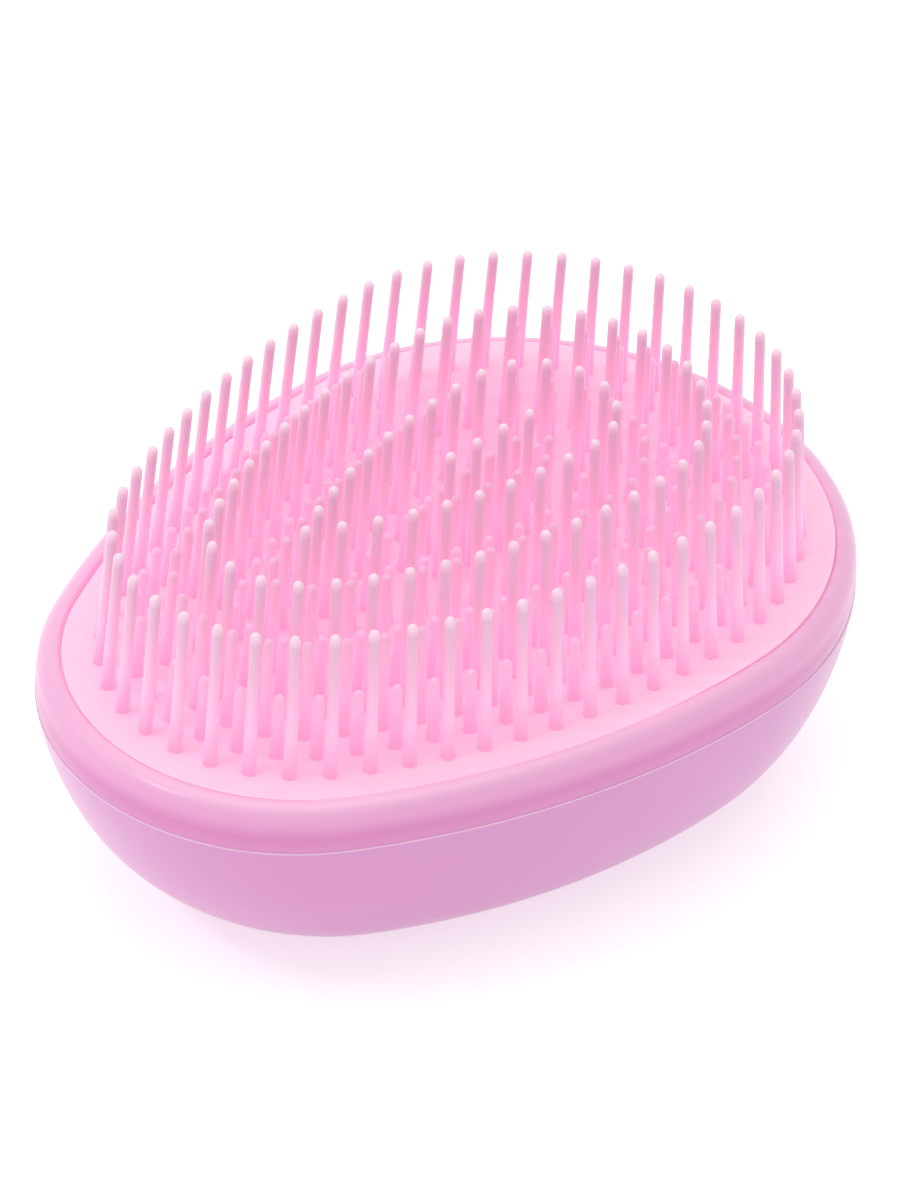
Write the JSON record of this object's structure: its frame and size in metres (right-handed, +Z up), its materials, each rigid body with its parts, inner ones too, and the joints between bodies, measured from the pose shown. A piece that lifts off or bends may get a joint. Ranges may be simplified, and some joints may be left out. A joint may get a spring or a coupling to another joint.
{
  "type": "palm-held scalp massager brush",
  "caption": "Egg-shaped palm-held scalp massager brush: smooth hollow palm shell, rounded rim ring and a dished pad of long, middle and short flexible pins in egg-shaped rings.",
  "frame": {"origin": "on the resting surface, under the middle of the brush's length and width", "axes": "+Z up out of the pins, -Y towards the narrower nose end, X across the brush; the brush lies on its palm shell with the pins up"},
  "size_m": [0.0856, 0.116, 0.0519],
  "materials": {
    "shell_plastic": "injection-moulded lilac pink with a soft pearl gloss",
    "rim_plastic": "injection-moulded pearl pink, glossy",
    "pad_elastomer": "soft moulded elastomer, satin pale pink",
    "pin_plastic": "translucent pink elastomer, same moulding as the pad",
    "carrier_plastic": "plain moulded plastic, hidden inside",
    "screw_steel": "zinc-plated steel, hidden inside"
  },
  "bodies": {
    "root": {"carrier_plate": "carrier_plastic", "carrier_screws": "screw_steel", "palm_shell": "shell_plastic", "pin_pad": "pad_elastomer", "pin_ring_01_long": "pin_plastic", "pin_ring_02_short": "pin_plastic", "pin_ring_03_middle": "pin_plastic", "pin_ring_04_long": "pin_plastic", "pin_ring_05_short": "pin_plastic", "pin_ring_06_middle": "pin_plastic", "pin_ring_07_long": "pin_plastic", "pin_ring_08_short": "pin_plastic", "pin_ring_09_middle": "pin_plastic", "pin_row_middle": "pin_plastic", "rim_ring": "rim_plastic"}
  },
  "joints": []
}
